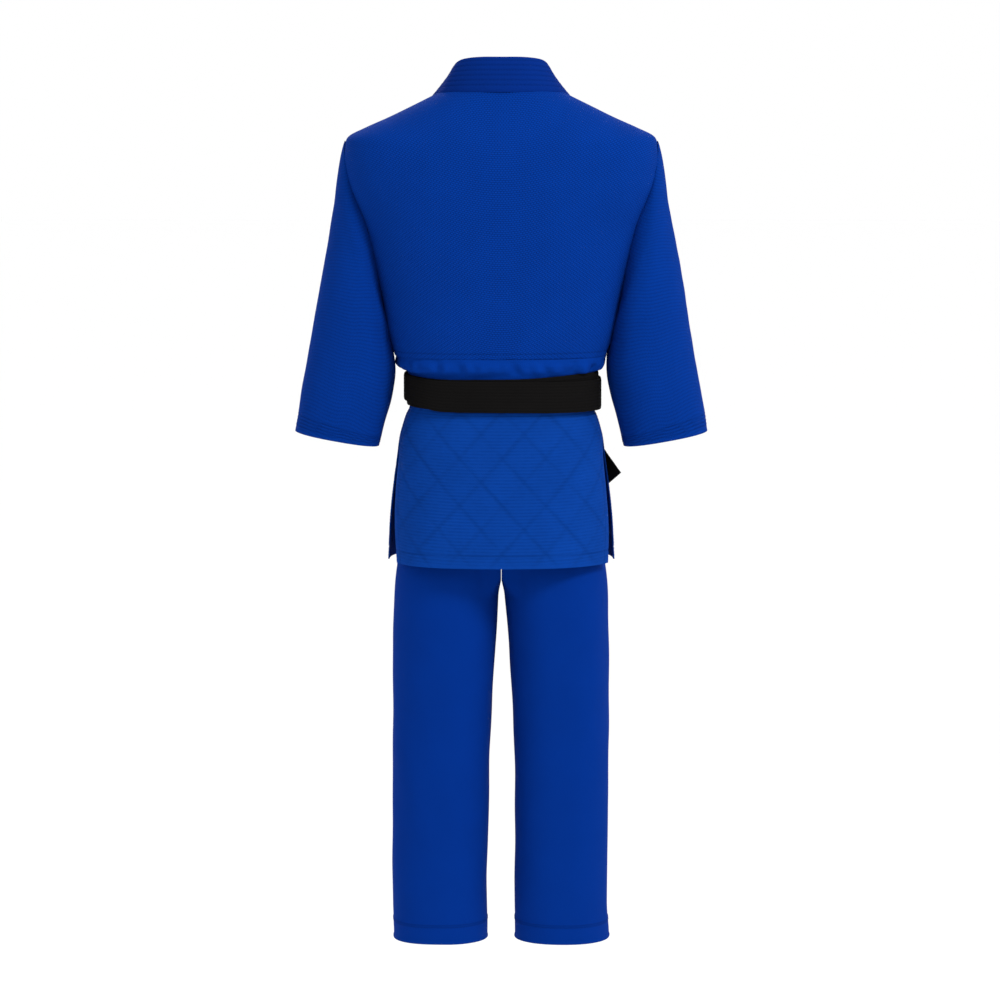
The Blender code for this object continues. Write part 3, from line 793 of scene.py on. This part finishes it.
def belt_path(t, extra):
    """Plan of one turn round the waist at these angles, this far out from the cloth below it."""
    width, back, front = curve(BODY, np.array(BELT_Z))
    over_lapels = front + OVERLAP_LIFT + COLLAR - CLOTH + 2 * BELT_SNUG
    depth = np.where(np.sin(t) > 0, back + BELT_SNUG, over_lapels)
    x, y = oval(width + BELT_SNUG + extra, depth + extra, SQUARE, t)
    x = x - 0.0040 * smoothstep(0.0, 0.8, -np.cos(t))
    return np.stack([x, y], axis=1)


def build_belt():
    """Two turns. The inner one rises at the wearer's right; the outer one rises and narrows at the left."""
    t = even_angles(0, 2 * math.pi, 481, z=BELT_Z)[:-1]
    wave = 0.0007 * np.sin(3 * t + 1) + 0.0005 * np.sin(5 * t)
    turn = smoothstep(0.55, 1.0, np.cos(t))
    turns = (
        ("belt_inner", 0.0, 0.0030 + 0.0055 * smoothstep(0.0, 0.8, -np.cos(t)), 0 * t),
        ("belt_outer", BELT_CLOTH + 0.0008, 0.0028 * np.cos(t) + 0.0040 * turn, 0.15 * turn),
    )
    for name, extra, rise, narrowing in turns:
        centre = np.column_stack([belt_path(t, extra + BELT_CLOTH / 2), BELT_Z + wave + rise])
        ahead = np.roll(centre, -1, axis=0) - np.roll(centre, 1, axis=0)
        ahead /= np.linalg.norm(ahead, axis=1, keepdims=True)
        up = np.tile([0.0, 0.0, 1.0], (len(t), 1))
        out = np.cross(ahead, up)
        made = strip(name, centre, up, out, width=BELT_WIDTH * (1 - narrowing), wrap=True)
        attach(made, "jacket_body")
        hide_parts(name + "_wrap")


def smooth_path(points, count):
    rows = [(i, *p) for i, p in enumerate(points)]
    return curve(rows, np.linspace(0, len(points) - 1, count))


def build_knot():
    """A flat knot: one end goes over, the other under, and a loop goes round both."""
    low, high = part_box("belt_knot")
    y = high.y + 0.002
    front = low.y
    z = (low.z + high.z) / 2
    over = smooth_path([
        (-0.030, y - 0.001, z + 0.003), (-0.021, y - 0.008, z + 0.006),
        (-0.006, front + 0.004, z + 0.003), (0.010, front + 0.003, z - 0.003),
        (0.021, front + 0.009, z - 0.010), (0.027, y - 0.004, z - 0.018),
    ], 60)
    under = smooth_path([
        (0.030, y - 0.001, z + 0.004), (0.021, y - 0.006, z + 0.008),
        (0.004, front + 0.012, z + 0.006), (-0.010, front + 0.010, z - 0.003),
        (-0.021, front + 0.010, z - 0.011), (-0.027, y - 0.004, z - 0.018),
    ], 60)
    loop = smooth_path([
        (0.000, y, z + 0.0205), (-0.001, front + 0.008, z + 0.0215), (-0.002, front + 0.0018, z + 0.011),
        (0.001, front + 0.0012, z), (0.002, front + 0.0024, z - 0.011), (0.000, front + 0.010, z - 0.0205),
        (0.000, y, z - 0.021),
    ], 60)
    pieces = (("knot_over", over, 0.030), ("knot_under", under, 0.030), ("knot_loop", loop, 0.026))
    for name, path, width in pieces:
        ahead = np.gradient(path, axis=0)
        ahead /= np.linalg.norm(ahead, axis=1, keepdims=True)
        if name == "knot_loop":
            across = np.tile([1.0, 0.0, 0.12], (len(path), 1))
        else:
            across = np.cross(ahead, np.tile([0.0, 1.0, 0.0], (len(path), 1)))
        across /= np.linalg.norm(across, axis=1, keepdims=True)
        out = np.cross(across, ahead)
        out /= np.linalg.norm(out, axis=1, keepdims=True)
        if name == "knot_loop":  # it turns round the others, so only its middle looks forward
            out *= -np.sign(out[30, 1])
        else:
            out *= np.sign(-out[:, 1:2] + 1e-9)
        made = strip(name, path, across, out, width=width, thick=KNOT_CLOTH)
        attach(made, "jacket_body")
        if name == "knot_over":
            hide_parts("belt_knot")


def build_tails():
    """The two ends leave the knot sideways and droop; the right one reaches past the wearer's side."""
    for side, name in SIDES:
        first, last, length = TAILS[name]
        along = np.linspace(0, length, 150)
        angle = np.radians(mix(first, last, smoothstep(0.0, 0.5, along / length)))
        step = along[1]
        x = 0.020 + np.concatenate([[0], np.cumsum(np.cos(angle[1:]) * step)])
        z = BELT_Z - 0.014 - np.concatenate([[0], np.cumsum(np.sin(angle[1:]) * step)])
        reach = curve(BODY, z)[..., 0] * 0.965  # past this the end hangs free beside the body
        surface = body_point(front_angle(np.minimum(x, reach), z), z)[:, 1]
        past = np.maximum(x - reach, 0)
        y = np.minimum(surface, -0.030) - OVERLAP_LIFT - COLLAR - 0.0052 + past * 0.5
        y = y - 0.0022 * np.sin(along * 38) ** 2 * smoothstep(0, 0.03, along)
        y = mix(np.full_like(y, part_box("belt_knot")[0].y + 0.012), y, smoothstep(0.01, 0.055, along))
        centre = np.column_stack([side * x, y, z])
        for _ in range(60):
            centre[1:-1] = mix(centre[1:-1], (centre[:-2] + centre[2:]) / 2, 0.5)
        ahead = np.gradient(centre, axis=0)
        ahead /= np.linalg.norm(ahead, axis=1, keepdims=True)
        forward = np.tile([0.0, -1.0, 0.0], (len(x), 1))
        forward[:, 0] = side * 0.9 * smoothstep(0.06, 0.16, x)
        across = np.cross(ahead, forward)
        across /= np.linalg.norm(across, axis=1, keepdims=True)
        out = np.cross(across, ahead)
        out *= np.sign(-out[:, 1:2])
        width = mix(0.034, BELT_WIDTH - 0.002, smoothstep(0.0, 0.05, along))
        join = int(np.argmax(centre[:, 2] < -0.489))  # below this the end is a piece of its own
        rows = slice(0, join + 5)
        made = strip("knot_end_" + name, centre[rows], across[rows], out[rows], width[rows], thick=0.0048)
        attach(made, "jacket_body")
        rows = slice(join, None)
        made = strip("belt_end_" + name, centre[rows], across[rows], out[rows], width[rows], thick=0.0042)
        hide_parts("belt_tail_" + name)
        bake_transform(made)


def leg_point(u, z):
    """Left trouser leg, at this angle round it and this level."""
    table = curve(LEG, z)
    x, y = oval(1, 1, LEG_SQUARE, u)
    middle = (table[..., 0] + table[..., 1]) / 2
    return stack(middle + (table[..., 1] - table[..., 0]) / 2 * x, table[..., 2] * y, z)


def leg_folds(points, side):
    """Slack of one leg, from below the seat to the hem."""
    z = points[..., 2]
    seed = 71 if side > 0 else 81
    large = folds(points, seed, 0.17, stretch=(1, 1, 0.35)) * 0.0036
    small = folds(points, seed + 1, 0.06, stretch=(1, 1, 0.55)) * 0.0010
    large = large * smoothstep(LEG_HEM_Z, LEG_HEM_Z + 0.06, z)
    return (large + small) * smoothstep(-0.75, -0.85, z)


def build_trousers():
    """Two halves, each a leg that opens above the crotch into half of the seat and waistband."""
    columns = np.linspace(-math.pi, math.pi, 201)[:-1]
    levels = np.concatenate([
        np.linspace(WAISTBAND_TOP, -0.70, 90)[:-1],
        np.linspace(-0.70, CROTCH_Z, 22)[:-1],
        np.linspace(CROTCH_Z, -1.270, 190)[:-1],
        np.linspace(-1.270, LEG_HEM_Z, 52),
    ])
    for side, name in SIDES:
        u, z = np.meshgrid(columns, levels, indexing="ij")
        seat = curve(SEAT, z)
        t = np.clip(u / SEAM_CORNER, -1, 1) * math.pi / 2
        x, y = oval(seat[..., 0], seat[..., 1], SQUARE, t)
        hips = stack(np.maximum(x, 0.0006), y, z)
        points = mix(leg_point(u, z), hips, smoothstep(-0.752, -0.665, z)[..., None])
        centre_seam = smoothstep(0.70 * math.pi, SEAM_CORNER, np.abs(u))
        centre_seam = centre_seam * smoothstep(CROTCH_Z - 0.045, CROTCH_Z, z)
        points[..., 0] = mix(points[..., 0], 0.0006, centre_seam)
        # Above the crotch there is no cloth between the two halves.
        keep = ~((np.abs(u[:, :-1]) > SEAM_CORNER) & (z[:, 1:] > CROTCH_Z - 1e-6))
        n = normals(points, wrap=True)
        above = z - LEG_HEM_Z
        turned_in = smoothstep(LEG_HEM + 0.0025, LEG_HEM, above)
        fine = -0.0007 * groove(z - (WAISTBAND_TOP - 0.034), 0.0012)
        for line in LEG_STITCH_LINES:
            fine = fine - 0.0006 * groove(above - line, 0.0011)
        gather = folds(points, 91, 0.022, stretch=(1, 1, 0.15)) * 0.0018 * smoothstep(-0.50, -0.436, z)
        lift = leg_folds(points, side) + gather + 0.0009 * turned_in + fine
        lift = lift - 0.0010 * smoothstep(0.0035, 0.0, above)
        outer = points + n * (lift - 0.0002)[..., None]
        outer[..., 0] = mix(np.maximum(outer[..., 0], 0.0004), 0.0004, centre_seam ** 8)
        inner = outer - n * (CLOTH - 0.0006 + 0.0012 * turned_in)[..., None]
        inner[..., 0] = np.maximum(inner[..., 0], 0.0004)
        outer[..., 0] *= side
        inner[..., 0] *= side
        made = cloth(
            "trouser_" + name, inner, outer, DRILL, wrap=True, keep=keep, flip=side < 0,
            relief=fine,
        )
        sheet_of(outer, wrap=True, keep=keep)
        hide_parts("leg_" + name, "leg_hem_" + name, "seat_" + name)
        if side > 0:
            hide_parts("waistband")
        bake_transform(made)
        knee_patch(side, name)


def knee_patch(side, name):
    """A second layer on the front of the leg, stitched twice round its edge."""
    low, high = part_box("knee_patch_" + name)
    around = np.linspace(math.pi + 0.62, 2 * math.pi - 0.62, 90)
    u, z = np.meshgrid(around, np.linspace(high.z, low.z, 150), indexing="ij")
    points = leg_point(u, z)
    n = normals(points)
    n = n * np.sign(-n[..., 1:2])
    w = (u - u.min()) / (u.max() - u.min())
    edge = np.minimum(np.minimum(w, 1 - w) * 0.16, np.minimum(z - low.z, high.z - z))
    face = 0.0026 * smoothstep(-0.002, 0.004, edge) - 0.0006 * groove(edge - 0.008, 0.0011)
    face = face - 0.0006 * groove(edge - 0.003, 0.0009)
    lift = leg_folds(points, side) + 0.0002
    inner = points + n * lift[..., None]
    outer = points + n * (lift + face)[..., None]
    inner[..., 0] *= side
    outer[..., 0] *= side
    flip = float(normals(outer)[..., 1].sum()) > 0
    made = cloth("knee_cloth_" + name, inner, outer, DRILL, flip=flip)
    sheet_of(inner)
    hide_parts("knee_patch_" + name)
    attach(made, "leg_" + name)


# ---- surroundings, lamps and camera ----
CAMERA_DISTANCE = 9.0
CAMERA_HEIGHT = 0.500
VIEW_WIDTH = 1.543  # what the camera sees across, at the object
VIEW_MIDDLE = (0.0020, 0.0, -0.6335)
SENSOR_WIDTH = 36


def light(name, place, aim, size, power):
    lamp = bpy.data.lights.new(name, "AREA")
    lamp.size = size
    lamp.energy = power
    made = bpy.data.objects.new(name, lamp)
    made.location = place
    made.rotation_euler = (Vector(aim) - Vector(place)).to_track_quat("-Z", "Y").to_euler()
    bpy.context.scene.collection.objects.link(made)


def build_stage():
    """White surroundings, a white floor out of view below the uniform, two lamps and the camera."""
    scene = bpy.context.scene
    scene.view_settings.view_transform = "Standard"
    world = bpy.data.worlds.new("studio") if scene.world is None else scene.world
    scene.world = world
    world.use_nodes = True
    world.node_tree.nodes["Background"].inputs["Color"].default_value = (1, 1, 1, 1)
    world.node_tree.nodes["Background"].inputs["Strength"].default_value = 1.0
    floor_mesh = bpy.data.meshes.new("floor")
    r = 30
    floor_mesh.from_pydata([(-r, -r, 0), (r, -r, 0), (r, r, 0), (-r, r, 0)], [], [(0, 1, 2, 3)])
    floor = bpy.data.objects.new("floor", floor_mesh)
    floor.location.z = LEG_HEM_Z - 1.2
    scene.collection.objects.link(floor)
    paint = bpy.data.materials.new("floor_paint")
    paint.use_nodes = True
    paint.node_tree.nodes["Principled BSDF"].inputs["Base Color"].default_value = (1.0, 1.0, 1.0, 1)
    paint.node_tree.nodes["Principled BSDF"].inputs["Roughness"].default_value = 0.9
    floor_mesh.materials.append(paint)

    light("key", (-2.3, 2.3, 2.4), (0, 0, -0.4), 1.0, 125)
    light("front", (0.8, -3.4, 1.6), (0, 0, -0.6), 1.8, 70)

    middle = Vector(VIEW_MIDDLE)
    camera_data = bpy.data.cameras.new("camera")
    camera_data.sensor_width = SENSOR_WIDTH
    camera_data.lens = SENSOR_WIDTH * CAMERA_DISTANCE / VIEW_WIDTH
    camera_data.clip_end = 60
    camera = bpy.data.objects.new("camera", camera_data)
    camera.location = (middle.x, CAMERA_DISTANCE, CAMERA_HEIGHT)
    camera.rotation_euler = (middle - camera.location).to_track_quat("-Z", "Y").to_euler()
    scene.collection.objects.link(camera)
    scene.camera = camera


build_jacket_body()
build_sleeves()
build_collar()
build_yoke()
build_back_flap()
build_front_flaps()
build_belt()
build_knot()
build_tails()
build_trousers()
build_stage()
